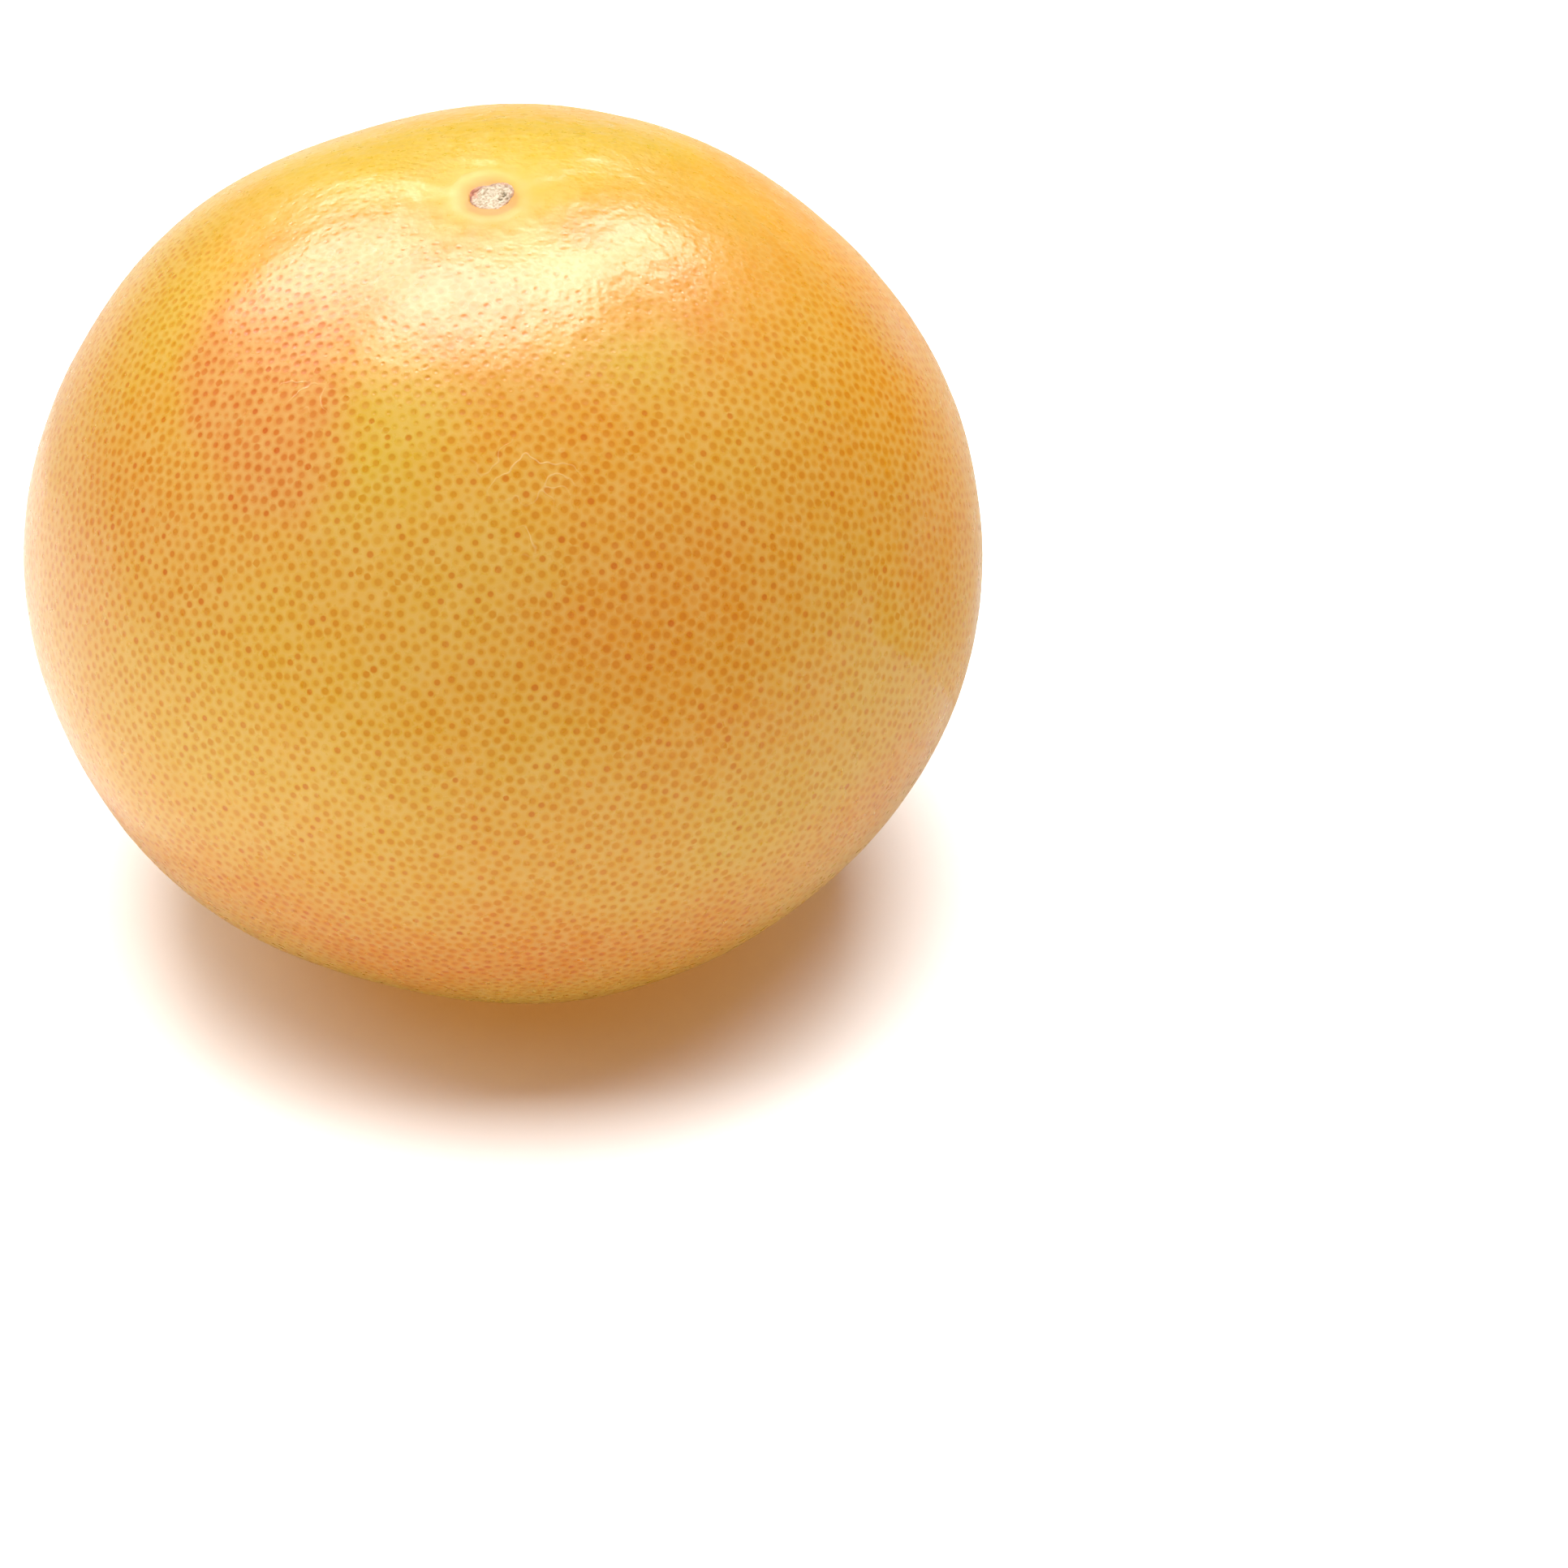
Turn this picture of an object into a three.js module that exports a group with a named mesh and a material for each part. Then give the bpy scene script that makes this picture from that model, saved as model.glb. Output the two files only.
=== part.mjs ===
// A whole grapefruit, as picked: one oblate, slightly uneven fruit that stands on its blossom end, with the
// stem end up. Two pieces: the fruit itself, and the calyx button that closes the stem scar.
// Units are millimetres. +Z is up, and the origin is on the surface that the fruit stands on, under the middle
// of the fruit. The stem end leans a little towards -X.
import * as THREE from "three";

// Driving dimensions of the fruit.
const FRUIT_WIDTH = 110; // across the equator
const FRUIT_HEIGHT = 98.9; // stem pole to blossom pole, before either end is sunk or flattened
const FLAT_DEPTH = 0.55; // how far the fruit's own weight has flattened the blossom end
const STEM_LEAN = THREE.MathUtils.degToRad(0.5); // the stem pole's offset from straight up, towards -X

// The stem end, by distance over the skin from the stem pole.
const BASIN = { depth: 1.0, radius: 12 }; // the broad, shallow hollow that the stem grew from
const COLLAR = { height: 0.3, radius: 5.0, width: 1.0 }; // the skin's low rim round the button
const MOAT = { depth: 0.75, radius: 3.9, edge: 1.1 }; // the ring-shaped gap between collar and button
const SOCKET = { depth: 1.5, radius: 2.55, edge: 0.3 }; // the blind seat that holds the button's root

// Shallow furrows that run down from the stem end and die out on the shoulder.
const FURROWS = { count: 9, depth: 0.22, start: 5, peak: 13, end: 34 };

// The blossom end's scar, a small pit in the middle of the flat spot.
const BLOSSOM_SCAR = { depth: 1.25, radius: 1.9 };

// Low swells that make the fruit uneven: how many lobes each has round the axis and from pole to pole.
const SWELLS = [
  { height: 0.19, around: 2, along: 1, turn: 4.15 },
  { height: 0.17, around: 3, along: 2, turn: 1.8 },
  { height: 0.61, around: 4, along: 1, turn: 1.76 },
  { height: 0.1, around: 5, along: 2, turn: 4.8 },
  { height: 0.24, around: 7, along: 1, turn: 1.02 },
  { height: 0.2, around: 9, along: 2, turn: 0.2 },
];

// The calyx button: a woody disc on a short root.
const BUTTON = { radius: 2.85, crown: 0.95, root: 2.15, rootDepth: 1.15, gap: 0.3 };
const BUTTON_LOBES = { count: 5, depth: 0.05, tilt: 0.07 };

// How finely the solids are faceted.
const SECTORS = 72;
const STEM_STEP = 0.5; // the first ring's distance from the stem pole
const STEM_GROWTH = 1.13; // each ring is this much further on than the last
const BLOSSOM_STEP = 0.9;
const BLOSSOM_GROWTH = 1.22;
const FULL_STEP = 4.1; // the widest step between rings
const BUTTON_SECTORS = 40;

const equator = FRUIT_WIDTH / 2;
const pole = FRUIT_HEIGHT / 2;
const centreHeight = pole - FLAT_DEPTH;

const bell = (x, width) => Math.exp(-((x / width) ** 2));
const step = THREE.MathUtils.smoothstep;

// How deep the skin lies under the plain spheroid at the stem end, at a distance over the skin from the pole.
function stemSink(distance) {
  const basin = BASIN.depth * bell(distance, BASIN.radius);
  const collar = COLLAR.height * bell(distance - COLLAR.radius, COLLAR.width);
  const moat = MOAT.depth * (1 - step(distance, MOAT.radius - MOAT.edge / 2, MOAT.radius + MOAT.edge / 2));
  const socket = SOCKET.depth * (1 - step(distance, SOCKET.radius, SOCKET.radius + SOCKET.edge));
  return basin - collar + moat + socket;
}

function furrowSink(distance, azimuth) {
  const rise = step(distance, FURROWS.start, FURROWS.peak);
  const fall = 1 - step(distance, FURROWS.peak, FURROWS.end);
  const uneven = FURROWS.count * azimuth + 1.3 * Math.sin(azimuth + 0.7) + 0.8 * Math.sin(2 * azimuth);
  return FURROWS.depth * rise * fall * (0.5 + 0.5 * Math.cos(uneven)) ** 2;
}

function swell(polar, azimuth) {
  const lobes = SWELLS.map(
    ({ height, around, along, turn }) => height * Math.cos(around * azimuth + turn) * Math.cos(along * polar),
  );
  return Math.sin(polar) * lobes.reduce((sum, lobe) => sum + lobe, 0);
}

// The skin's distance from the fruit's centre, by the angle from the stem pole and the angle round the axis.
function skinRadius(polar, azimuth) {
  const spheroid = 1 / Math.hypot(Math.sin(polar) / equator, Math.cos(polar) / pole);
  const fromStem = polar * pole;
  const fromBlossom = (Math.PI - polar) * pole;
  const scar = BLOSSOM_SCAR.depth * bell(fromBlossom, BLOSSOM_SCAR.radius);
  return spheroid + swell(polar, azimuth) - stemSink(fromStem) - furrowSink(fromStem, azimuth) - scar;
}

// The direction from the fruit's centre: the lean is whole at the stem pole and nothing at the blossom pole.
function direction(polar, azimuth) {
  const lean = (STEM_LEAN * (1 + Math.cos(polar))) / 2;
  return new THREE.Vector3()
    .setFromSphericalCoords(1, polar, azimuth + Math.PI / 2)
    .applyAxisAngle(new THREE.Vector3(1, 0, 0), Math.PI / 2)
    .applyAxisAngle(new THREE.Vector3(0, 1, 0), -lean);
}

// A point on the skin, with the blossom end pressed flat on the surface under it.
function skinPoint(polar, azimuth) {
  const point = direction(polar, azimuth).multiplyScalar(skinRadius(polar, azimuth));
  point.z = Math.max(point.z + centreHeight, 0);
  return point;
}

// The rings' angles from the stem pole: close together at both poles, and even between them.
function ringAngles() {
  const down = [];
  for (let at = STEM_STEP, gap = STEM_STEP; gap < FULL_STEP; gap *= STEM_GROWTH, at += gap) down.push(at / pole);
  const up = [];
  for (let at = BLOSSOM_STEP, gap = BLOSSOM_STEP; gap < FULL_STEP; gap *= BLOSSOM_GROWTH, at += gap)
    up.unshift(Math.PI - at / pole);
  const [from, to] = [down.at(-1), up[0]];
  const count = Math.ceil(((to - from) * equator) / FULL_STEP);
  const even = Array.from({ length: count - 1 }, (_, i) => from + ((to - from) * (i + 1)) / count);
  return [0, ...down, ...even, ...up, Math.PI];
}

// A sphere whose vertices are moved onto the skin, ring by ring.
function fruitGeometry() {
  const angles = ringAngles();
  const rings = angles.length - 1;
  const geometry = new THREE.SphereGeometry(1, SECTORS, rings);
  const { position, uv } = geometry.attributes;
  for (let i = 0; i < position.count; i++) {
    const polar = angles[Math.round((1 - uv.getY(i)) * rings)];
    const point = skinPoint(polar, 2 * Math.PI * uv.getX(i));
    position.setXYZ(i, point.x, point.y, point.z);
  }
  geometry.computeVertexNormals();
  return geometry;
}

// The button's section from the foot of its root to the middle of its sunken crown, as [radius, height].
function buttonProfile() {
  const { radius, crown, root, rootDepth } = BUTTON;
  return [
    [0, -rootDepth],
    [root * 0.9, -rootDepth],
    [root, -rootDepth * 0.7],
    [root, 0],
    [radius * 0.97, 0.08 * crown],
    [radius, 0.35 * crown],
    [radius * 0.93, 0.68 * crown],
    [radius * 0.76, 0.94 * crown],
    [radius * 0.58, crown],
    [radius * 0.4, 0.84 * crown],
    [radius * 0.2, 0.76 * crown],
    [0, 0.74 * crown],
  ].map(([r, h]) => new THREE.Vector2(r, h));
}

function buttonGeometry() {
  const geometry = new THREE.LatheGeometry(buttonProfile(), BUTTON_SECTORS);
  geometry.rotateX(Math.PI / 2);
  const { position } = geometry.attributes;
  for (let i = 0; i < position.count; i++) {
    const [x, y, z] = [position.getX(i), position.getY(i), position.getZ(i)];
    const azimuth = Math.atan2(y, x);
    const above = z > 0 ? 1 : 0; // the root stays round, to fit its socket
    const lobed = 1 - BUTTON_LOBES.depth * above * (0.5 - 0.5 * Math.cos(BUTTON_LOBES.count * azimuth));
    const tilted = z + BUTTON_LOBES.tilt * above * x;
    position.setXYZ(i, x * lobed, y * lobed, tilted);
  }
  geometry.computeVertexNormals();
  return geometry;
}

const skinMaterial = new THREE.MeshStandardMaterial({ color: 0xe8a63c, roughness: 0.42, metalness: 0 });
const buttonMaterial = new THREE.MeshStandardMaterial({ color: 0xc9a98a, roughness: 0.9, metalness: 0 });

const fruit = new THREE.Mesh(fruitGeometry(), skinMaterial);
fruit.name = "fruit";

const button = new THREE.Mesh(buttonGeometry(), buttonMaterial);
button.name = "calyx_button";
const moatFloor = skinRadius(0, 0) + SOCKET.depth;
button.position.copy(direction(0, 0)).multiplyScalar(moatFloor + BUTTON.gap);
button.position.z += centreHeight;
button.rotation.y = -STEM_LEAN;

const grapefruit = new THREE.Group();
grapefruit.add(fruit, button);

// The swells shift the outline a little, so the fruit is moved to stand with its middle over the origin.
const outline = new THREE.Box3().setFromObject(fruit, true);
const middle = outline.getCenter(new THREE.Vector3());
fruit.position.set(-middle.x, -middle.y, 0);
button.position.x -= middle.x;
button.position.y -= middle.y;

export default grapefruit;
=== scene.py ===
"""The looks of a whole grapefruit, on a plain white studio table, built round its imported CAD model.

The skin is one closed mesh of cells, one cell for each oil gland. Its spheroid, swells, basin and blossom
scar are the CAD solid's, and it is fitted to that solid's box. Its moat, collar and furrows are shallower
than the solid's, to match the photograph, and its socket is narrower. Lengths in this script are in
millimetres until a mesh, light or camera is made, and in metres from there on.
"""
import math

import bpy
import numpy as np
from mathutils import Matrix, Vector
from mathutils.geometry import delaunay_2d_cdt


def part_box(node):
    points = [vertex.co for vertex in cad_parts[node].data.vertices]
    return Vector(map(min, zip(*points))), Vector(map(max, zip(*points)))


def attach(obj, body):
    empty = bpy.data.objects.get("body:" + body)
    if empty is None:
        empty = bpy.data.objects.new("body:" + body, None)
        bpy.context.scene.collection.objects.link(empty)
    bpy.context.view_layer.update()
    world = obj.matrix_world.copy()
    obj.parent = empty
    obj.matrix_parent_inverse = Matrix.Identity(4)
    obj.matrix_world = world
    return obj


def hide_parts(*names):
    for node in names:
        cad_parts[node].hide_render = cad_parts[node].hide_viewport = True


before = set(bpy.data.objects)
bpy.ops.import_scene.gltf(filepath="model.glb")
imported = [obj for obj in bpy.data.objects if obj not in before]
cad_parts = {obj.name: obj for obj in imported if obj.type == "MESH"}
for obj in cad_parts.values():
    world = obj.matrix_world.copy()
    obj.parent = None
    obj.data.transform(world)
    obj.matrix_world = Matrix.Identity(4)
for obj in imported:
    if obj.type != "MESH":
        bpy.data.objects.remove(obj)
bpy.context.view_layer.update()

MM = 0.001
RNG = np.random.default_rng(7)
GOLDEN_ANGLE = math.pi * (3 - math.sqrt(5))

# The fruit's main form, with the CAD source's values.
FRUIT_WIDTH = 110
FRUIT_HEIGHT = 98.9
FLAT_DEPTH = 0.55
STEM_LEAN = math.radians(0.5)
EQUATOR = FRUIT_WIDTH / 2
POLE = FRUIT_HEIGHT / 2
SWELLS = [  # height, lobes round the axis, lobes from pole to pole, turn
    (0.19, 2, 1, 4.15),
    (0.17, 3, 2, 1.8),
    (0.61, 4, 1, 1.76),
    (0.1, 5, 2, 4.8),
    (0.24, 7, 1, 1.02),
    (0.2, 9, 2, 0.2),
]

# The stem end, by distance over the skin from the stem pole.
BASIN = {"depth": 1.0, "radius": 12}
CREST_RADIUS = 4.1  # how far out the collar's crest stands
BEHIND = math.radians(115)  # the azimuth where the moat and the collar are plainest
SOCKET = {"depth": 1.5, "inner": 2.1, "outer": 2.3}
FURROWS = {"count": 9, "depth": 0.04, "start": 5, "peak": 13, "end": 34}
BLOSSOM_SCAR = {"depth": 1.25, "radius": 1.9}

# The skin's cells. A cell's spacing is the distance to its neighbours' middles.
CELL_SPACING = 1.39
STEM_CELLS = {"spacing": 0.5, "full": 6.0, "end": 10.0}  # finer round the calyx button
BLOSSOM_CELLS = {"spacing": 0.6, "full": 3.0, "end": 7.0}  # and round the blossom scar
CELL_SHAKE = 0.24  # how far the cells are shaken, as a share of their spacing
CELL_WALL = 0.55  # the skin round a gland that its cell makes room for
CELL_REACH = 0.97  # the wall and the radius of a typical gland together
RELAX_ROUNDS = 6
RELAX_PUSH = 0.22
FAR_OFF = 9.0  # a pore offset, in gland radii, where no gland shows

# The glands: shares of all of them, and the ranges that their radii and their tones lie in.
FAINT_SHARE = 0.2
DARK_SHARE = 0.14
DIMPLED_SHARE = 0.3
FAINT = {"radius": (0.28, 0.4), "tone": (0.25, 0.6)}
PLAIN = {"radius": (0.43, 0.55), "tone": (0.65, 1.0)}
DARK_SHRINK = 0.88
POLE_RADIUS = 0.3  # of the cell at the blossom pole, which has no gland to see
GLAND_DEPTH = 0.03  # how far the middle of a gland of full tone is sunk
DIMPLE_DEPTH = 0.035  # how much further that of a dimple is


def smooth(x, low, high):
    t = np.clip((x - low) / (high - low), 0, 1)
    return t * t * (3 - 2 * t)


def bell(x, width):
    return np.exp(-((x / width) ** 2))


def unit(v):
    return v / np.linalg.norm(v, axis=-1, keepdims=True)


# ---------------------------------------------------------------- noise over the skin

def wave_noise(points, wavelength, waves=48, seed=1):
    """Smooth noise of about unit size at each point: a sum of plane waves in random directions."""
    rng = np.random.default_rng(seed)
    heading = unit(rng.normal(size=(waves, 3)))
    number = 2 * math.pi / (wavelength * rng.uniform(0.75, 1.4, waves))
    phase = rng.uniform(0, 2 * math.pi, waves)
    return np.sin(points @ (heading * number[:, None]).T + phase).sum(1) * math.sqrt(2 / waves)


# ---------------------------------------------------------------- the fruit's form

def stem_ring(distance, azimuth):
    """How far outside the collar's crest a point is, and how much it is behind the button, from 0 to 1."""
    crest = CREST_RADIUS - 0.35 * np.cos(2 * azimuth) + 0.15 * np.cos(3 * azimuth + 0.5)
    return distance - crest, 0.5 + 0.5 * np.cos(azimuth - BEHIND)


def stem_sink(distance, azimuth):
    """How deep the stem end lies under the plain spheroid.

    The collar and the moat are plainest behind the button, and shallowest in front of it.
    """
    ring, behind = stem_ring(distance, azimuth)
    basin = BASIN["depth"] * bell(distance, BASIN["radius"])
    collar = (0.01 + 0.06 * behind) * bell(ring, 1.2)
    moat = (0.16 + 0.26 * behind) * (1 - smooth(ring, -1.9, 0.3))
    socket = SOCKET["depth"] * (1 - smooth(distance, SOCKET["inner"], SOCKET["outer"]))
    return basin - collar + moat + socket


def furrow_sink(distance, azimuth):
    """How deep the furrows are that run down the shoulder, unevenly spaced round the stem."""
    rise = smooth(distance, FURROWS["start"], FURROWS["peak"])
    fall = 1 - smooth(distance, FURROWS["peak"], FURROWS["end"])
    uneven = FURROWS["count"] * azimuth + 1.3 * np.sin(azimuth + 0.7) + 0.8 * np.sin(2 * azimuth)
    return FURROWS["depth"] * rise * fall * (0.5 + 0.5 * np.cos(uneven)) ** 2


def skin_radius(polar, azimuth):
    """How far the skin is from the fruit's middle, without the cells' own relief."""
    spheroid = 1 / np.hypot(np.sin(polar) / EQUATOR, np.cos(polar) / POLE)
    swell = sum(h * np.cos(n * azimuth + t) * np.cos(m * polar) for h, n, m, t in SWELLS)
    from_stem = polar * POLE
    from_blossom = (math.pi - polar) * POLE
    scar = BLOSSOM_SCAR["depth"] * bell(from_blossom, BLOSSOM_SCAR["radius"])
    sink = stem_sink(from_stem, azimuth) + furrow_sink(from_stem, azimuth) + scar
    return spheroid + np.sin(polar) * swell - sink


def angles(direction):
    """The angle from the stem pole, and the angle round the axis, of unit vectors."""
    polar = np.arccos(np.clip(direction[:, 2], -1, 1))
    return polar, np.arctan2(direction[:, 1], direction[:, 0])


def place(direction, sink):
    """Points on the skin in each direction, sunk by so much, standing with the flat spot at height 0."""
    polar, azimuth = angles(direction)
    lean = STEM_LEAN * (1 + np.cos(polar)) / 2
    x, y, z = direction.T
    leaning = np.stack([x * np.cos(lean) - z * np.sin(lean), y, z * np.cos(lean) + x * np.sin(lean)], 1)
    points = leaning * (skin_radius(polar, azimuth) - sink)[:, None]
    points[:, 2] = np.maximum(points[:, 2] + POLE - FLAT_DEPTH, 0)
    return points


# ---------------------------------------------------------------- the cells

def cell_spacing(polar):
    """The spacing wanted at an angle from the stem pole."""
    from_stem = polar * POLE
    from_blossom = (math.pi - polar) * POLE
    stem = smooth(from_stem, STEM_CELLS["full"], STEM_CELLS["end"])
    blossom = smooth(from_blossom, BLOSSOM_CELLS["full"], BLOSSOM_CELLS["end"])
    spacing = STEM_CELLS["spacing"] + (CELL_SPACING - STEM_CELLS["spacing"]) * stem
    return spacing - (CELL_SPACING - BLOSSOM_CELLS["spacing"]) * (1 - blossom)


def spiral_cells():
    """Directions to the cells' middles: a golden-angle spiral from pole to pole, shaken a little."""
    polar = np.linspace(0, math.pi, 4001)
    radius = 1 / np.hypot(np.sin(polar) / EQUATOR, np.cos(polar) / POLE)
    across, along = radius * np.sin(polar), radius * np.cos(polar)
    step = np.hypot(np.diff(across), np.diff(along))
    ring = math.pi * (across[1:] + across[:-1]) * step
    middle = (polar[1:] + polar[:-1]) / 2
    count = np.concatenate([[0], np.cumsum(ring / (math.sqrt(0.75) * cell_spacing(middle) ** 2))])
    number = np.arange(int(count[-1]))
    theta = np.interp(number + 0.5, count, polar)
    turn = number * GOLDEN_ANGLE
    cells = np.stack([np.sin(theta) * np.cos(turn), np.sin(theta) * np.sin(turn), np.cos(theta)], 1)
    shake = RNG.normal(size=cells.shape) * (CELL_SHAKE * cell_spacing(theta) / EQUATOR)[:, None]
    return unit(cells + shake)


def triangulate(cells):
    """Delaunay triangles of points on the unit sphere and of one more at its south pole, facing outward.

    Seen from the south pole, circles on the sphere are circles on a plane, so the triangles that are
    Delaunay on the plane are so on the sphere. The last ones join the rim of that net to the south pole.
    """
    flat = cells[:, :2] / (1 + cells[:, 2:])
    faces = delaunay_2d_cdt([Vector(p) for p in flat], [], [], 0, 0, False)[2]
    faces = np.array(faces)
    a, b, c = (cells[faces[:, i]] for i in range(3))
    inward = (np.cross(b - a, c - a) * a).sum(1) < 0
    faces[inward] = faces[inward][:, ::-1]
    edges = np.concatenate([faces[:, [0, 1]], faces[:, [1, 2]], faces[:, [2, 0]]])
    key = edges[:, 0] * len(cells) + edges[:, 1]
    back = edges[:, 1] * len(cells) + edges[:, 0]
    rim = edges[~np.isin(key, back)]
    cap = np.column_stack([rim[:, ::-1], np.full(len(rim), len(cells))])
    return np.concatenate([faces, cap])


def edges_of(faces):
    """The faces' edges, each once, and for each face the three edges after its corners."""
    pairs = np.sort(np.concatenate([faces[:, [0, 1]], faces[:, [1, 2]], faces[:, [2, 0]]]), axis=1)
    edges, index = np.unique(pairs, axis=0, return_inverse=True)
    return edges, index.reshape(3, -1).T


def relax(cells, size):
    """Pushes the cells, in a few rounds, so that neighbours lie about as far apart as their sizes ask."""
    for _ in range(RELAX_ROUNDS):
        faces = triangulate(cells)
        edges = edges_of(faces)[0]
        edges = edges[edges[:, 1] < len(cells)]
        a, b = edges.T
        gap = cells[b] - cells[a]
        length = np.linalg.norm(gap, axis=1)
        push = gap * ((length - size[a] - size[b]) / length)[:, None] * RELAX_PUSH
        move = np.zeros_like(cells)
        np.add.at(move, a, push)
        np.add.at(move, b, -push)
        cells = unit(cells + move * 0.5)
    return cells


def make_pores(polar):
    """For each cell its gland's radius, how dark and how red it looks, and how deep its dimple is.

    The last three run from 0 to 1. Only some of the glands have dimples, and only on the shoulder.
    """
    count = len(polar)
    kind = RNG.random(count)
    faint = kind < FAINT_SHARE
    dark = kind > 1 - DARK_SHARE
    radius = np.where(faint, RNG.uniform(*FAINT["radius"], count), RNG.uniform(*PLAIN["radius"], count))
    tone = np.where(faint, RNG.uniform(*FAINT["tone"], count), RNG.uniform(*PLAIN["tone"], count))
    redness = np.where(dark, RNG.uniform(0.4, 1.0, count), RNG.uniform(0.0, 0.25, count))
    radius[dark] *= DARK_SHRINK
    from_stem = polar * POLE
    dimpled = RNG.random(count) < DIMPLED_SHARE
    shoulder = smooth(from_stem, 5, 8) * (1 - smooth(from_stem, 16, 34))
    dimple = np.where(dimpled, RNG.uniform(0.35, 1.0, count), 0) * shoulder
    return radius, tone, redness, dimple


# ---------------------------------------------------------------- meshes and materials

def new_mesh_object(name, points, faces):
    mesh = bpy.data.meshes.new(name)
    mesh.from_pydata(points.tolist(), [], faces)
    mesh.shade_smooth()
    piece = bpy.data.objects.new(name, mesh)
    bpy.context.scene.collection.objects.link(piece)
    return piece


def add_attribute(mesh, name, kind, domain, values):
    attribute = mesh.attributes.new(name, kind, domain)
    field = {"FLOAT": "value", "FLOAT_VECTOR": "vector", "FLOAT_COLOR": "color"}[kind]
    attribute.data.foreach_set(field, np.ascontiguousarray(values, np.float32).ravel())


class Nodes:
    """Builds a material's node tree. Most calls add a node, feed its inputs and return an output."""

    def __init__(self, name):
        self.material = bpy.data.materials.new(name)
        self.material.use_nodes = True
        self.tree = self.material.node_tree
        self.shader = self.tree.nodes["Principled BSDF"]

    def add(self, kind, inputs=(), output=0, **settings):
        node = self.tree.nodes.new(kind)
        for key, value in settings.items():
            setattr(node, key, value)
        for key, value in dict(inputs).items():
            self.feed(node.inputs[key], value)
        return node.outputs[output]

    def feed(self, socket, value):
        if isinstance(value, bpy.types.NodeSocket):
            self.tree.links.new(value, socket)
        else:
            socket.default_value = value

    def attribute(self, name, output):
        return self.add("ShaderNodeAttribute", output=output, attribute_name=name)

    def math(self, operation, a, b=0.0, c=0.0):
        return self.add("ShaderNodeMath", {0: a, 1: b, 2: c}, operation=operation)

    def length(self, vector):
        return self.add("ShaderNodeVectorMath", {0: vector}, "Value", operation="LENGTH")

    def split(self, vector):
        node = self.add("ShaderNodeSeparateXYZ", {0: vector}).node
        return node.outputs[0], node.outputs[1], node.outputs[2]

    def mix(self, factor, a, b, blend="MIX"):
        inputs = {"Factor": factor, 6: a, 7: b}
        return self.add("ShaderNodeMix", inputs, 2, data_type="RGBA", blend_type=blend)

    def ease(self, value, low, high, start=0.0, end=1.0):
        inputs = {"Value": value, "From Min": low, "From Max": high, "To Min": start, "To Max": end}
        return self.add("ShaderNodeMapRange", inputs, interpolation_type="SMOOTHSTEP")

    def noise(self, size, detail=2.0, roughness=0.5, shift=0.0):
        """Noise from 0 to 1 with features of about this many millimetres."""
        place = self.add("ShaderNodeTexCoord", output="Object")
        place = self.add("ShaderNodeVectorMath", {0: place, 1: (shift, shift, shift)}, operation="ADD")
        inputs = {"Vector": place, "Scale": 1 / (size * MM), "Detail": detail, "Roughness": roughness}
        return self.add("ShaderNodeTexNoise", inputs, "Fac")

    def bump(self, height, depth, normal=None):
        """A relief whose height runs from 0 to 1 over so many millimetres."""
        inputs = {"Height": height, "Distance": depth * MM, "Strength": 1.0}
        if normal is not None:
            inputs["Normal"] = normal
        return self.add("ShaderNodeBump", inputs)

    def finish(self, **inputs):
        for key, value in inputs.items():
            self.feed(self.shader.inputs[key.replace("_", " ")], value)
        return self.material


def colour(red, green, blue):
    """A linear colour from screen values of 0 to 255."""
    def linear(v):
        v /= 255
        return v / 12.92 if v <= 0.04045 else ((v + 0.055) / 1.055) ** 2.4
    return linear(red), linear(green), linear(blue), 1.0


# ---------------------------------------------------------------- the fruit

# The skin's patches: azimuth and height in degrees, radius across and up in millimetres, strength, and how
# far out the patch starts to fade, from 0 in the middle to 1 at the radius. First come those of colour.
BLUSH = [
    {"at": (-141, 51), "reach": (18, 15), "strength": 1.0, "fade": 0.5},
    {"at": (-147, 60), "reach": (12, 10), "strength": 0.85, "fade": 0.1},
    {"at": (-148, 28), "reach": (24, 24), "strength": 0.5, "fade": 0.1},
    {"at": (172, 20), "reach": (26, 28), "strength": 0.3, "fade": 0.0},
]
ORANGE_AND_SHADE = [
    # Painted shade over the skin's own deeper tint: the next three make the skin darker and redder under
    # the highlight.
    {"at": (-92, 70), "reach": (23, 11), "strength": 1.0, "fade": 0.3},
    {"at": (-165, 71), "reach": (16, 10), "strength": 0.8, "fade": 0.1},
    {"at": (-38, 76), "reach": (9, 6), "strength": 0.7, "fade": 0.1},
    {"at": (-76, 52), "reach": (13, 11), "strength": 0.4, "fade": 0.1},
    # A painted glow of warm light thrown back onto this side.
    {"at": (-68, 27), "reach": (27, 22), "strength": 0.7, "fade": 0.0},
    {"at": (-20, 30), "reach": (40, 30), "strength": 0.45, "fade": 0.0},
    {"at": (30, 5), "reach": (40, 34), "strength": 0.45, "fade": 0.0},
    {"at": (105, 20), "reach": (36, 22), "strength": 0.3, "fade": 0.0},
    # Painted shade and warm bounced light along the lower front edge, next to the table.
    {"at": (-95, -23), "reach": (50, 12), "strength": 1.0, "fade": 0.1},
    {"at": (60, -50), "reach": (40, 24), "strength": 0.4, "fade": 0.0},
]
LEMON = [
    {"at": (-110, 49), "reach": (11, 17), "strength": 0.7, "fade": 0.0},
    {"at": (-62, 56), "reach": (9, 8), "strength": 0.6, "fade": 0.0},
    {"at": (-125, 8), "reach": (26, 18), "strength": 0.3, "fade": 0.0},
    {"at": (100, 74), "reach": (36, 20), "strength": 1.0, "fade": 0.2},
    {"at": (158, 46), "reach": (34, 22), "strength": 0.6, "fade": 0.1},
    {"at": (60, -20), "reach": (30, 20), "strength": 0.5, "fade": 0.0},
]
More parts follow.
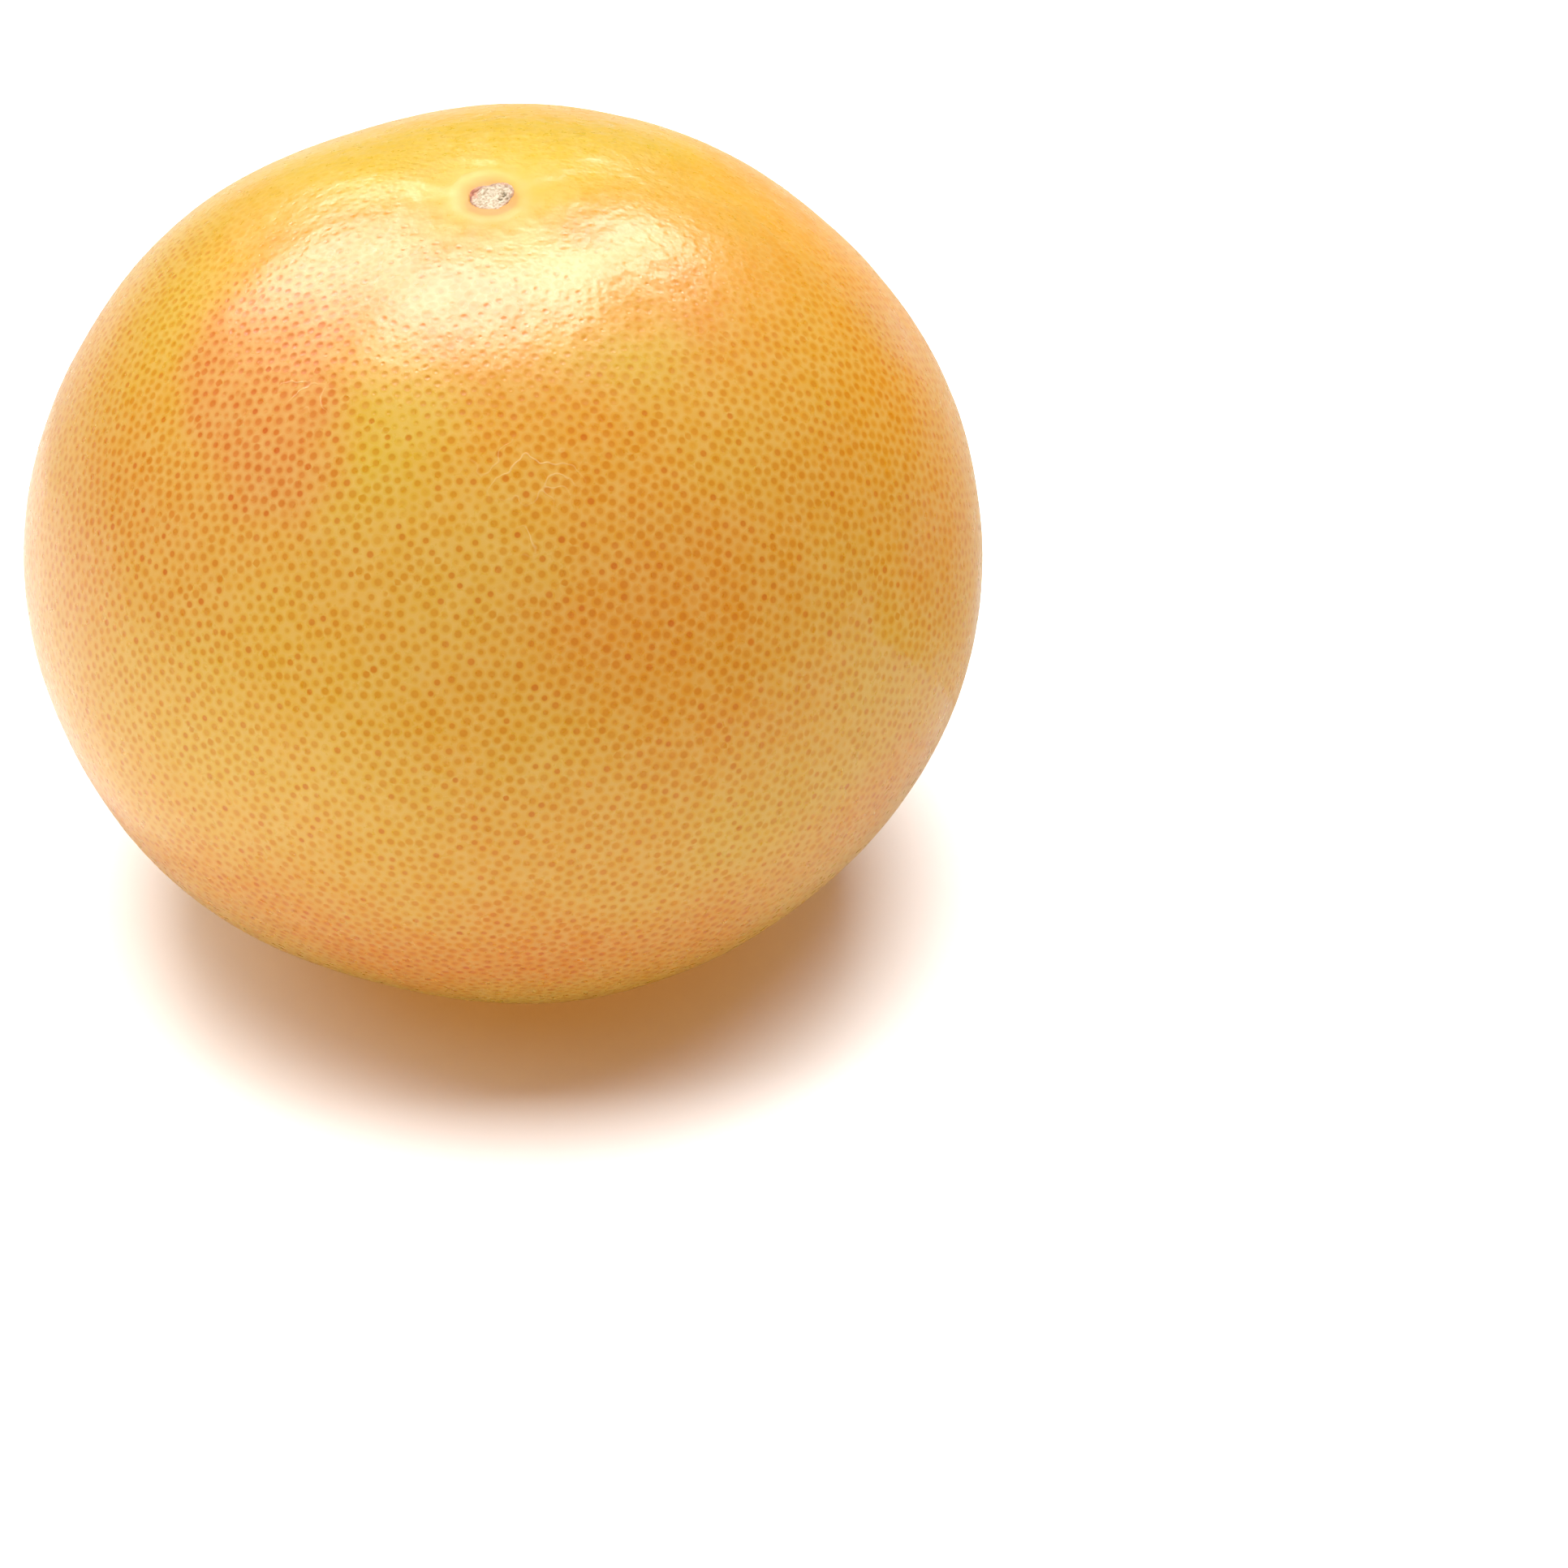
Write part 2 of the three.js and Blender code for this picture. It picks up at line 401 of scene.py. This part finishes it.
# Where the skin is less glossy.
DULL = [
    {"at": (60, 40), "reach": (80, 22), "strength": 1.0, "fade": 0.6},
    {"at": (5, 15), "reach": (30, 40), "strength": 0.8, "fade": 0.3},
    {"at": (50, 80), "reach": (15, 10), "strength": 0.7, "fade": 0.3},
    {"at": (168, 74), "reach": (12, 6), "strength": 0.5, "fade": 0.2},
    {"at": (-154, 56), "reach": (10, 8), "strength": 0.35, "fade": 0.1},
    {"at": (-55, 60), "reach": (10, 7), "strength": 0.45, "fade": 0.1},
]
# Where the skin has fine, dry scratches.
SCARRED = [
    {"at": (-128, 51), "reach": (5, 2.5), "strength": 1.0, "fade": 0.3},
    {"at": (-84, 45), "reach": (5, 4), "strength": 0.7, "fade": 0.1},
    {"at": (-86, 37), "reach": (2, 3), "strength": 0.7, "fade": 0.1},
]


def patch_weight(direction, patches, seed):
    """How strongly the patches show in each direction, with uneven edges."""
    total = np.zeros(len(direction))
    points = direction * EQUATOR
    ragged = 0.16 * wave_noise(points, 24, seed=seed) + 0.05 * wave_noise(points, 8, seed=seed + 1)
    for patch in patches:
        azimuth, height = np.radians(patch["at"])
        level = math.cos(height)
        centre = np.array([level * math.cos(azimuth), level * math.sin(azimuth), math.sin(height)])
        east = np.array([-math.sin(azimuth), math.cos(azimuth), 0])
        north = np.cross(centre, east)
        across, up = patch["reach"]
        far = np.hypot(points @ east / across, points @ north / up)
        far = np.where(direction @ centre > 0, far, FAR_OFF)
        total = np.maximum(total, patch["strength"] * (1 - smooth(far + ragged, patch["fade"], 1.25)))
    return total


# The skin's colours.
GROUND_YELLOW = colour(219, 165, 52)
GROUND_AMBER = colour(221, 158, 50)
GROUND_PALE = colour(232, 200, 124)
LEMON_SKIN = colour(213, 173, 44)
# Used for the skin's own deeper tint, and for painted shade and a painted warm glow.
ORANGE_SKIN_AND_SHADE = colour(221, 132, 10)
BLUSH_SKIN = colour(219, 146, 64)
# Painted shade in the moat round the button, deepest next to the button.
MOAT_SHADE_OUTER = colour(214, 142, 46)
MOAT_SHADE_INNER = colour(202, 118, 48)
# A painted highlight: the collar's crest, paler as if it caught the light.
COLLAR_HIGHLIGHT = colour(234, 194, 120)
SCRATCH = colour(246, 214, 150)

# What the ground is multiplied by in a gland, and, as painted shade, in a dimple's hollow.
GLAND = (0.9, 0.71, 0.21, 1)
RED_GLAND = (0.85, 0.48, 0.14, 1)
BLUSHING_GLAND = (0.88, 0.57, 0.24, 1)
BLUSHING_RED_GLAND = (0.84, 0.38, 0.14, 1)
DIMPLE_SHADE = (0.8, 0.52, 0.25, 1)


def skin_ground(n, offset):
    """The colour between the glands, and how strongly the skin blushes."""
    blush, orange_and_shade, lemon = n.split(n.attribute("patches", "Vector"))
    ground = n.mix(n.ease(n.noise(30, 3), 0.35, 0.65), GROUND_YELLOW, GROUND_AMBER)
    ground = n.mix(lemon, ground, LEMON_SKIN)
    # Partly the skin's own deeper tint, partly painted shade and a painted warm glow.
    ground = n.mix(orange_and_shade, ground, ORANGE_SKIN_AND_SHADE)
    ground = n.mix(blush, ground, BLUSH_SKIN)
    between = n.ease(offset, 1.1, 1.7, 0.0, 0.14)
    mottled = n.ease(n.noise(2.2, 2), 0.3, 0.7, 0.0, 0.14)
    return n.mix(n.math("ADD", between, mottled), ground, GROUND_PALE), blush


def add_glands(n, ground, blush, offset, tone, redness):
    """The ground with each gland's darker disc on it."""
    tint = n.mix(redness, GLAND, RED_GLAND)
    tint = n.mix(blush, tint, n.mix(redness, BLUSHING_GLAND, BLUSHING_RED_GLAND))
    disc = n.math("MULTIPLY", n.ease(offset, 1.08, 0.55), tone)
    return n.mix(disc, ground, n.mix(1.0, ground, tint, "MULTIPLY"))


def add_stem_end(n, skin, collar, moat):
    """The skin with painted shade in the moat round the button, deepest next to it, and a painted
    highlight, a paler ring, on the collar round that.
    """
    shade = n.mix(n.ease(moat, 0.7, 1.0), MOAT_SHADE_OUTER, MOAT_SHADE_INNER)
    skin = n.mix(n.math("MULTIPLY", moat, 0.6), skin, shade)
    return n.mix(n.math("MULTIPLY", collar, 0.3), skin, COLLAR_HIGHLIGHT)


def scratches(n):
    """Thin lines where a noise crosses its middle value, inside the scarred patches."""
    nearness = n.math("ABSOLUTE", n.math("SUBTRACT", n.noise(3.5, 1.5), 0.5))
    return n.math("MULTIPLY", n.ease(nearness, 0.022, 0.0), n.attribute("scarred", "Fac"))


def skin_relief(n, offset, shoulder, dip, scar):
    """The glands' dishes, the grain, the shoulder's pebbles, the dimples and the scratches."""
    relief = n.bump(n.ease(offset, 0.0, 1.0), 0.018)
    relief = n.bump(n.noise(0.5, 3), 0.008, relief)
    relief = n.bump(n.math("MULTIPLY", n.noise(1.8, 2, 0.5), shoulder), 0.15, relief)
    relief = n.bump(n.math("SUBTRACT", 1.0, dip), 0.028, relief)
    return n.bump(scar, 0.03, relief)


def skin_material():
    n = Nodes("grapefruit_skin")
    offset = n.length(n.attribute("pore_offset", "Vector"))
    tone, redness, dimple = n.split(n.attribute("pore_tone", "Vector"))
    shoulder, collar, moat = n.split(n.attribute("stem_end", "Vector"))
    ground, blush = skin_ground(n, offset)
    skin = add_glands(n, ground, blush, offset, tone, redness)
    dip = n.math("MULTIPLY", n.ease(offset, 0.9, 0.1), dimple)
    # Painted shade: each dimple's hollow is darker and browner.
    skin = n.mix(n.math("MULTIPLY", dip, 0.6), skin, n.mix(1.0, skin, DIMPLE_SHADE, "MULTIPLY"))
    skin = add_stem_end(n, skin, collar, moat)
    scar = scratches(n)
    skin = n.mix(n.math("MULTIPLY", scar, 0.6), skin, SCRATCH)
    rough = n.ease(n.noise(1.2, 2), 0.2, 0.8, 0.26, 0.34)
    rough = n.math("ADD", rough, n.math("MULTIPLY", n.math("ADD", moat, collar), 0.3))
    return n.finish(
        Base_Color=skin,
        Roughness=rough,
        Normal=skin_relief(n, offset, shoulder, dip, scar),
        Specular_IOR_Level=n.ease(n.attribute("dull", "Fac"), 0.0, 1.0, 0.5, 0.1),
        Subsurface_Weight=0.12,
        Subsurface_Radius=(1.0, 0.4, 0.12),
        Subsurface_Scale=0.003,
        IOR=1.42,
    )


def skin_cells():
    """The cells' directions, the triangles between them, and each cell's radius, tone, redness and dimple.

    The last cell is the one at the blossom pole, and it has no gland.
    """
    spread = spiral_cells()
    polar = angles(spread)[0]
    radius, tone, redness, dimple = make_pores(polar)
    room = cell_spacing(polar) / 2 * (CELL_WALL + radius) / CELL_REACH / EQUATOR
    cells = relax(spread, room)
    faces = triangulate(cells)
    cells = np.concatenate([cells, [[0, 0, -1]]])
    last = ((radius, POLE_RADIUS), (tone, 0), (redness, 0), (dimple, 0))
    return cells, faces, [np.append(values, value) for values, value in last]


def hide_glands(cells, tone, dimple):
    """Fades the glands near both poles, and on the far side to further down from the stem."""
    polar, azimuth = angles(cells)
    blush = patch_weight(cells, BLUSH, 21)
    back = 0.5 + 0.5 * np.cos(azimuth - math.radians(75))
    shown = smooth(polar * POLE + 12 * blush - 34 * back**2, 15, 36)
    shown = shown * smooth((math.pi - polar) * POLE, 2.5, 6)
    return tone * shown * (1 - 0.4 * back), dimple * (1 - back), shown


def split_faces(cells, faces, radius):
    """Splits each triangle in four. Returns all directions, the pieces at its corners and those between.

    An edge is split in proportion to the radii of the glands at its ends. The first point of a corner piece
    is its cell's middle.
    """
    edges, edge_of = edges_of(faces)
    a, b = edges.T
    share = (radius[a] / (radius[a] + radius[b]))[:, None]
    middles = unit(cells[a] * (1 - share) + cells[b] * share)
    between = edge_of + len(cells)
    ab, bc, ca = between.T
    fans = np.concatenate([
        np.column_stack([faces[:, 0], ab, ca]),
        np.column_stack([faces[:, 1], bc, ab]),
        np.column_stack([faces[:, 2], ca, bc]),
    ])
    return np.concatenate([cells, middles]), fans, between


def skin_surface(directions, cell_sink):
    """The skin's points, in the CAD solid's box, and how strongly the shoulder's pebbles show at each."""
    points = directions * EQUATOR
    distance = angles(directions)[0] * POLE
    away = smooth(distance, 5, 9)
    wide = 0.014 * wave_noise(points, 9, seed=11)
    fine = 0.006 * wave_noise(points, 3.2, seed=12)
    sink = wide * away + fine * away
    shoulder = smooth(distance, 4.5, 8) * (1 - smooth(distance, 16, 42))
    sink += shoulder * 0.012 * wave_noise(points, 2.4, seed=13)
    sink[: len(cell_sink)] += cell_sink
    surface = place(directions, sink)
    low, high = (np.array(corner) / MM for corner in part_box("fruit"))
    scale = (high - low) / np.ptp(surface, axis=0)
    return (surface - surface.min(0)) * scale + low, shoulder


def add_gland_attributes(mesh, surface, cells, fans, faces, radius, looks):
    """Where each corner lies from its gland's middle, in gland radii, and what its gland looks like."""
    polar = angles(cells)[0]
    offset = np.full((faces, 3, 3), (FAR_OFF, 0.0, 0.0))
    middle = surface[fans[:, :1]]
    offset[: len(fans)] = (surface[fans] - middle) / radius[fans[:, 0]][:, None, None]
    near_stem = polar * POLE < STEM_CELLS["end"]
    near_blossom = (math.pi - polar) * POLE < BLOSSOM_CELLS["end"]
    plain = near_stem | near_blossom
    offset[: len(fans)][plain[fans[:, 0]]] = (FAR_OFF, 0.0, 0.0)
    add_attribute(mesh, "pore_offset", "FLOAT_VECTOR", "CORNER", offset)
    pore = np.zeros((faces, 3))
    for column, values in enumerate(looks):
        pore[: len(fans), column] = values[fans[:, 0]]
    add_attribute(mesh, "pore_tone", "FLOAT_VECTOR", "FACE", pore)


def add_patch_attributes(mesh, directions):
    patches = np.stack([
        patch_weight(directions, BLUSH, 21),
        patch_weight(directions, ORANGE_AND_SHADE, 31),
        patch_weight(directions, LEMON, 41),
    ], 1)
    add_attribute(mesh, "patches", "FLOAT_VECTOR", "POINT", patches)
    add_attribute(mesh, "dull", "FLOAT", "POINT", patch_weight(directions, DULL, 51))
    add_attribute(mesh, "scarred", "FLOAT", "POINT", patch_weight(directions, SCARRED, 61))


def add_stem_attribute(mesh, directions, shoulder):
    """How strongly the pebbles, the collar's painted highlight and the moat's painted shade show. The
    pebbles are strongest at the right.
    """
    polar, azimuth = angles(directions)
    ring, behind = stem_ring(polar * POLE, azimuth)
    uneven = 0.6 + 0.65 * (0.5 + 0.5 * np.cos(azimuth - math.radians(30)))
    # The collar's mask: its painted highlight and its roughness.
    collar = bell(ring, 0.9) * behind
    # The moat's mask: its painted shade and its roughness.
    moat = smooth(1.6 - ring, 0.4, 2.6) * (1 - 0.6 * collar)
    stem = np.stack([shoulder * uneven, collar, moat], 1)
    add_attribute(mesh, "stem_end", "FLOAT_VECTOR", "POINT", stem)


def make_fruit():
    cells, faces, (radius, tone, redness, dimple) = skin_cells()
    tone, dimple, shown = hide_glands(cells, tone, dimple)
    directions, fans, between = split_faces(cells, faces, radius)
    cell_sink = GLAND_DEPTH * (0.4 + 0.6 * tone) * shown + DIMPLE_DEPTH * dimple
    surface, shoulder = skin_surface(directions, cell_sink)
    all_faces = np.concatenate([fans, between]).tolist()
    piece = new_mesh_object("grapefruit_skin", surface * MM, all_faces)
    mesh = piece.data
    add_gland_attributes(mesh, surface, cells, fans, len(all_faces), radius, (tone, redness, dimple))
    add_patch_attributes(mesh, directions)
    add_stem_attribute(mesh, directions, shoulder)
    mesh.materials.append(skin_material())
    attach(piece, "root")
    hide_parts("fruit")
    return piece


# ---------------------------------------------------------------- the calyx button

# The button seen from above: how far its edge stands out, in millimetres, at angles in degrees from +X.
BUTTON_RADIUS = 2.72
BUTTON_SUNK = 0.2  # how far it lies under the top of its solid
BUTTON_CORNERS = [  # angle, height, width
    (42, 0.55, 26),
    (98, -0.4, 22),
    (150, 0.05, 30),
    (215, 0.1, 30),
    (262, 0.1, 20),
    (325, -0.45, 28),
]
BUTTON_SECTORS = 120
BUTTON_RINGS = 36
ROOT_RADIUS = 2.1
ROOT_RINGS = 6


def turn_from(angle, degrees):
    """The angle from so many degrees, in degrees, within half a turn."""
    return (np.degrees(angle) - degrees + 180) % 360 - 180


def button_outline(angle):
    return BUTTON_RADIUS + sum(h * bell(turn_from(angle, at), w) for at, h, w in BUTTON_CORNERS)


def button_form():
    """The crown's points from its inner ring out, then its middle, with one weight of each kind.

    The kinds are the woody core, the fleshy rim, the creases between them, and the dark pits on one side.
    """
    share = np.linspace(0, 1, BUTTON_RINGS + 1)[1:]
    angle = np.linspace(0, 2 * math.pi, BUTTON_SECTORS, endpoint=False)
    share, angle = (grid.ravel() for grid in np.meshgrid(share, angle, indexing="ij"))
    share, angle = np.append(share, 0), np.append(angle, 0)
    radius = share * button_outline(angle)
    x, y = radius * np.cos(angle), radius * np.sin(angle)
    flat = np.stack([x, y, np.zeros_like(x)], 1)

    wander = 0.05 * wave_noise(flat, 1.6, seed=3) + 0.02 * wave_noise(flat, 0.5, seed=8)
    left = 0.35 + 0.65 * bell(turn_from(angle, 160), 90)
    crease = (bell(share + wander - 0.76, 0.04) + 0.7 * bell(share - wander - 0.9, 0.03)) * left
    rim = smooth(share + wander, 0.78, 0.92) * left
    rim = np.maximum(rim, smooth(share + 2 * wander, 0.5, 0.8) * bell(turn_from(angle, 165), 50))
    side = bell(turn_from(angle, -4), 40) * bell(share - 0.62, 0.3)
    pits = smooth(side, 0.25, 0.75) * smooth(wave_noise(flat, 0.55, seed=4), 0.1, 1.2)
    across = flat @ np.array([[0.8, -0.25, 0], [-0.6, 0.18, 0], [0, 0, 1]])
    fibres = wave_noise(across, 0.22, seed=6)

    height = -0.14 * bell(share, 0.4) - 0.45 * smooth(share, 0.84, 1.0) ** 2
    height -= 0.13 * crease + 0.26 * pits
    height += (1 - 0.7 * rim) * 0.018 * fibres * (1 - smooth(share, 0.92, 1.0))
    height += 0.05 * wave_noise(flat, 1.8, seed=9) * (1 - smooth(share, 0.8, 1.0))
    height += 0.05 * x + 0.13 * y
    weights = np.stack([rim, np.clip(crease, 0, 1), pits], 1)
    return np.stack([x, y, height], 1), weights


def button_faces():
    """Rings of quads from the crown's first ring down to the foot, closed by a fan at each end."""
    count = BUTTON_RINGS + ROOT_RINGS
    ring = np.arange(count - 1)[:, None] * BUTTON_SECTORS
    below = ring + BUTTON_SECTORS
    here = np.arange(BUTTON_SECTORS)
    there = (here + 1) % BUTTON_SECTORS
    quads = np.stack([ring + here, below + here, below + there, ring + there], -1)
    last = (count - 1) * BUTTON_SECTORS
    crown_middle = count * BUTTON_SECTORS
    top = [[crown_middle, a, b] for a, b in zip(here, there)]
    bottom = [[crown_middle + 1, last + b, last + a] for a, b in zip(here, there)]
    return quads.reshape(-1, 4).tolist() + top + bottom


def make_button():
    crown, weights = button_form()
    middle = len(crown) - 1
    low, high = (np.array(corner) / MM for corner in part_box("calyx_button"))
    centre = (low[:2] + high[:2]) / 2
    crown *= (*(high[:2] - low[:2]) / np.ptp(crown[:, :2], axis=0), 1)
    crown[:, :2] += centre - (crown[:, :2].max(0) + crown[:, :2].min(0)) / 2
    crown[:, 2] += high[2] - BUTTON_SUNK - crown[:, 2].max()

    edge = crown[middle - BUTTON_SECTORS : middle]
    rings = [crown[:middle]]
    for down in np.linspace(0, 1, ROOT_RINGS + 1)[1:]:
        inward = smooth(down, 0.0, 0.6)
        root = centre + (edge[:, :2] - centre) * (ROOT_RADIUS / BUTTON_RADIUS)
        ring = edge[:, :2] * (1 - inward) + root * inward
        depth = edge[:, 2] + (low[2] - edge[:, 2]) * down
        rings.append(np.column_stack([ring, depth]))
    foot = [[*centre, low[2]]]
    points = np.concatenate([*rings, crown[middle:], foot])

    faces = button_faces()
    piece = new_mesh_object("calyx_button_woody", points * MM, faces)
    under = np.tile((1.0, 0.0, 0.0), (ROOT_RINGS * BUTTON_SECTORS, 1))
    kinds = np.concatenate([weights[:middle], under, weights[middle:], [(1.0, 0.0, 0.0)]])
    add_attribute(piece.data, "kinds", "FLOAT_VECTOR", "POINT", kinds)
    piece.data.materials.append(button_material())
    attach(piece, "root")
    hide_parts("calyx_button")
    return piece


PALE_WOOD = colour(222, 206, 178)
DARK_WOOD = colour(178, 150, 116)
PALE_RIM = colour(206, 132, 94)
DARK_RIM = colour(180, 96, 70)
CREASE = colour(140, 66, 46)
PITS = colour(106, 86, 42)


def button_material():
    n = Nodes("calyx_button_woody")
    rim, crease, pits = n.split(n.attribute("kinds", "Vector"))
    core = n.mix(n.ease(n.noise(0.3, 3, 0.6), 0.38, 0.62), PALE_WOOD, DARK_WOOD)
    flesh = n.mix(n.ease(n.noise(0.5, 2), 0.35, 0.65), PALE_RIM, DARK_RIM)
    wood = n.mix(rim, core, flesh)
    wood = n.mix(n.math("MULTIPLY", crease, 0.8), wood, CREASE)
    wood = n.mix(n.math("MULTIPLY", pits, 0.9), wood, PITS)
    relief = n.bump(n.noise(0.14, 3), 0.03)
    return n.finish(Base_Color=wood, Roughness=0.85, Normal=relief)


button = make_button()
fruit = make_fruit()


# ---------------------------------------------------------------- table, lights and camera

FRAME_SIZE = 1932  # the photograph's width and height in pixels
LENS, SENSOR = 150, 36
FRUIT_AT = (621, 683)  # the fruit's middle in the photograph
CAMERA_HEIGHT = math.radians(36)  # above the horizon, seen from the fruit
CAMERA_DISTANCE = 752.7


def make_camera():
    """Looks along +Y and down, turned so that the fruit's middle falls where the photograph has it."""
    pixels = FRAME_SIZE * LENS / SENSOR
    across = (FRUIT_AT[0] - FRAME_SIZE / 2) / pixels
    up = (FRAME_SIZE / 2 - FRUIT_AT[1]) / pixels
    slant = math.sqrt(1 + across**2 + up**2)
    pitch = math.asin(slant * math.sin(CAMERA_HEIGHT) / math.hypot(1, up)) + math.atan(up)
    yaw = math.atan2(across, math.cos(pitch) + up * math.sin(pitch))
    data = bpy.data.cameras.new("camera")
    data.lens = LENS
    data.sensor_width = SENSOR
    data.clip_end = 20
    camera = bpy.data.objects.new("camera", data)
    low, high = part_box("fruit")
    back = Vector((0, -math.cos(CAMERA_HEIGHT), math.sin(CAMERA_HEIGHT)))
    camera.location = (low + high) / 2 + back * CAMERA_DISTANCE * MM
    camera.rotation_euler = (math.pi / 2 - pitch, 0, yaw)
    bpy.context.scene.collection.objects.link(camera)
    bpy.context.scene.camera = camera


FRUIT_MIDDLE = (0, 0, POLE * MM)


def make_light(
    name, at, size, power, lights, matte=True, gloss=True, faces=FRUIT_MIDDLE, shape="RECTANGLE"
):
    """A soft box, in metres and watts, that shines toward a point and only on the pieces in lights.

    With matte off it shows only in reflections, and with gloss off it shows in none.
    """
    data = bpy.data.lights.new(name, "AREA")
    data.shape = shape
    data.size, data.size_y = size
    data.energy = power
    light = bpy.data.objects.new(name, data)
    light.location = at
    light.rotation_euler = (light.location - Vector(faces)).to_track_quat("Z", "Y").to_euler()
    light.visible_diffuse = matte
    light.visible_glossy = gloss
    bpy.context.scene.collection.objects.link(light)
    group = bpy.data.collections.new(name + "_lights")
    for piece in lights:
        group.objects.link(piece)
    light.light_linking.receiver_collection = group


FLOOR_REACH = 3.0  # metres from the middle to each side


def make_floor(name, white):
    """A flat floor, white or grey, that gives back so much of its light, from 0 to 1."""
    size = FLOOR_REACH
    points = np.array([(-size, -size, 0), (size, -size, 0), (size, size, 0), (-size, size, 0)])
    floor = new_mesh_object(name, points, [(0, 1, 2, 3)])
    n = Nodes(name)
    paint = n.finish(Base_Color=(white, white, white, 1), Roughness=1.0, Specular_IOR_Level=0.0)
    floor.data.materials.append(paint)
    return floor


def make_table():
    """The white table that is seen, and a hair under it the dimmer one that lights the fruit from below."""
    seen = make_floor("floor", 0.86)
    seen.visible_diffuse = False
    seen.visible_glossy = False
    seen.visible_shadow = False
    bounce = make_floor("floor_bounce", 0.4)
    bounce.location.z = -0.1 * MM
    bounce.visible_camera = False
    return seen, bounce


def make_glow(table):
    """A warm lamp inside the fruit. It lights only the table, and the fruit doesn't shade it.

    It stands in for the light that has gone through the fruit and tints the shadow.
    """
    data = bpy.data.lights.new("glow", "POINT")
    data.shadow_soft_size = 0.03
    data.energy = 0.055
    data.color = (1.0, 0.42, 0.09)
    light = bpy.data.objects.new("glow", data)
    light.location = (0, 0, 0.6 * POLE * MM)
    light.visible_glossy = False
    light.visible_camera = False
    bpy.context.scene.collection.objects.link(light)
    group = bpy.data.collections.new("glow_table")
    for floor in table:
        group.objects.link(floor)
    light.light_linking.receiver_collection = group
    light.light_linking.blocker_collection = group


def make_world(strength):
    world = bpy.data.worlds.new("studio")
    world.use_nodes = True
    world.node_tree.nodes["Background"].inputs["Color"].default_value = (1, 1, 1, 1)
    world.node_tree.nodes["Background"].inputs["Strength"].default_value = strength
    bpy.context.scene.world = world


make_camera()
table = make_table()
make_world(0.02)
subject = (fruit, button)
make_light("key_back", (0, 0.69, 0.63), (1.0, 0.6), 7.5, subject, gloss=False)
make_light("key_top", (0, 0.16, 0.93), (0.8, 0.8), 1.3, subject, gloss=False)
make_light("key_right", (0.26, 0.37, 0.83), (0.8, 0.6), 4.8, subject, gloss=False)
make_light("fill_front", (0, -0.74, 0.56), (1.6, 1.0), 6.2, subject, gloss=False)
make_light("fill_left", (-0.83, -0.15, 0.36), (1.0, 1.0), 5.6, subject, gloss=False)
make_light("fill_right", (0.83, -0.15, 0.36), (1.0, 1.0), 1.8, subject, gloss=False)
make_light("sheen_near", (-0.075, 0.33, 0.85), (0.64, 0.48), 12.4, subject, matte=False, shape="ELLIPSE")
make_light("sheen_right", (0.36, 0.738, 0.85), (0.37, 0.325), 5.2, subject, matte=False)
make_light("sheen_left", (-0.525, 0.863, 0.85), (0.75, 0.275), 9.8, subject, matte=False)
# This one lies on the table and shines up.
table_sheen = {"at": (-0.24, -0.04, 0.002), "faces": (-0.24, -0.04, 1)}
make_light("sheen_table", size=(0.36, 0.32), power=0.25, lights=subject, matte=False, **table_sheen)
make_light("table_top", (0, 0, 1.0), (0.9, 0.9), 28, table, gloss=False)
make_light("table_wide", (0, 0, 1.2), (2.4, 2.4), 8.5, table, gloss=False)
make_light("table_left", (-0.545, 0, 0.83), (0.9, 0.9), 4, table, gloss=False)
make_glow(table)
bpy.context.scene.view_settings.view_transform = "Standard"
